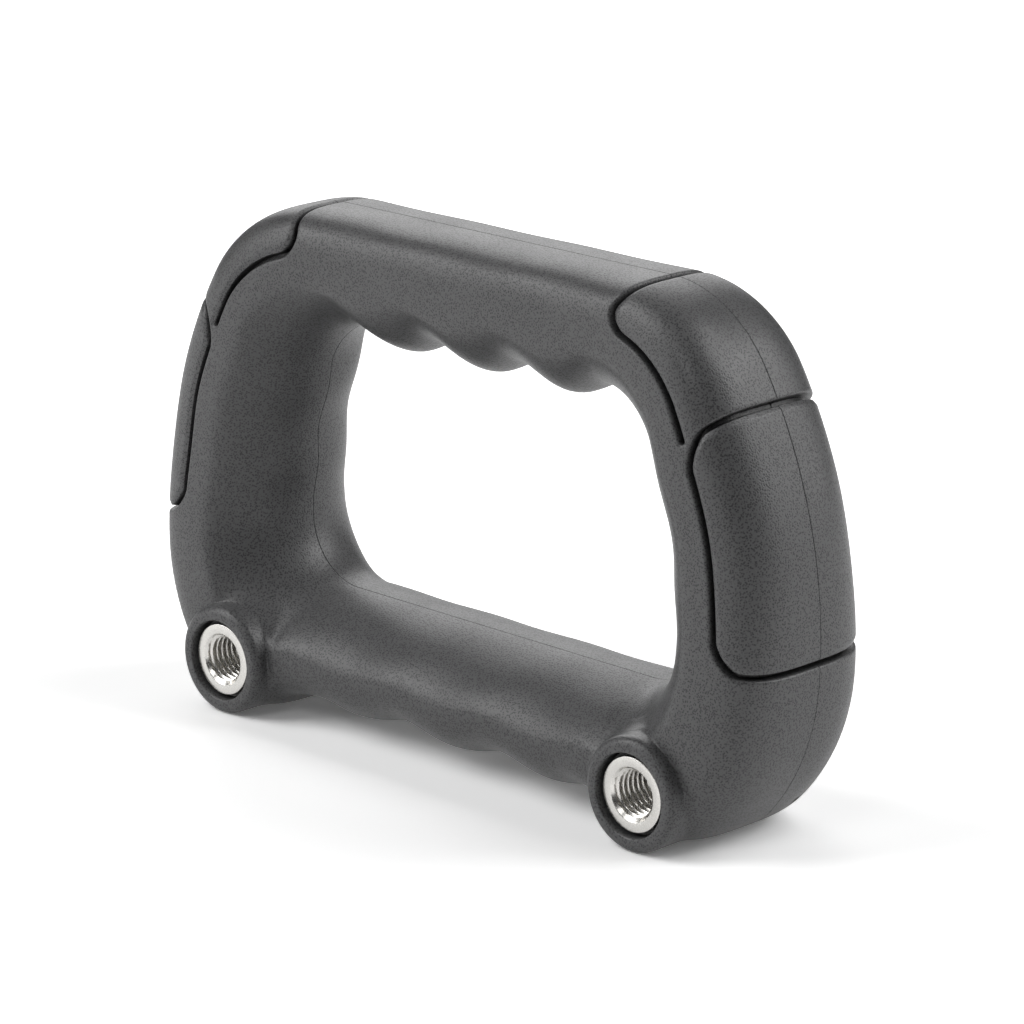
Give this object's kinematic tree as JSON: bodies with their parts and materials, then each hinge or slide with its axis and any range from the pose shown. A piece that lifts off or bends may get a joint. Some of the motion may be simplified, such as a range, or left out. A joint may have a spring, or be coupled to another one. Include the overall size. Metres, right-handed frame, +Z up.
{
  "type": "carry handle",
  "caption": "Closed-loop carry handle with a ridged finger grip, moulded in hollow half shells, fixed from behind by screws into threaded inserts in its feet.",
  "frame": {"origin": "midway between the two screw holes, on the plane of the boss faces that the handle is mounted on", "axes": "+X along the grip towards the right foot, +Y away from the mounting face, +Z up from the base bar to the grip"},
  "size_m": [0.1568, 0.0406, 0.0994],
  "materials": {
    "shell_plastic": "fine moulded grain, matte charcoal",
    "insert_nickel": "turned, nickel plated"
  },
  "bodies": {
    "root": {"front_shell": "shell_plastic", "rear_shell": "shell_plastic", "left_insert": "insert_nickel", "right_insert": "insert_nickel"}
  },
  "joints": []
}
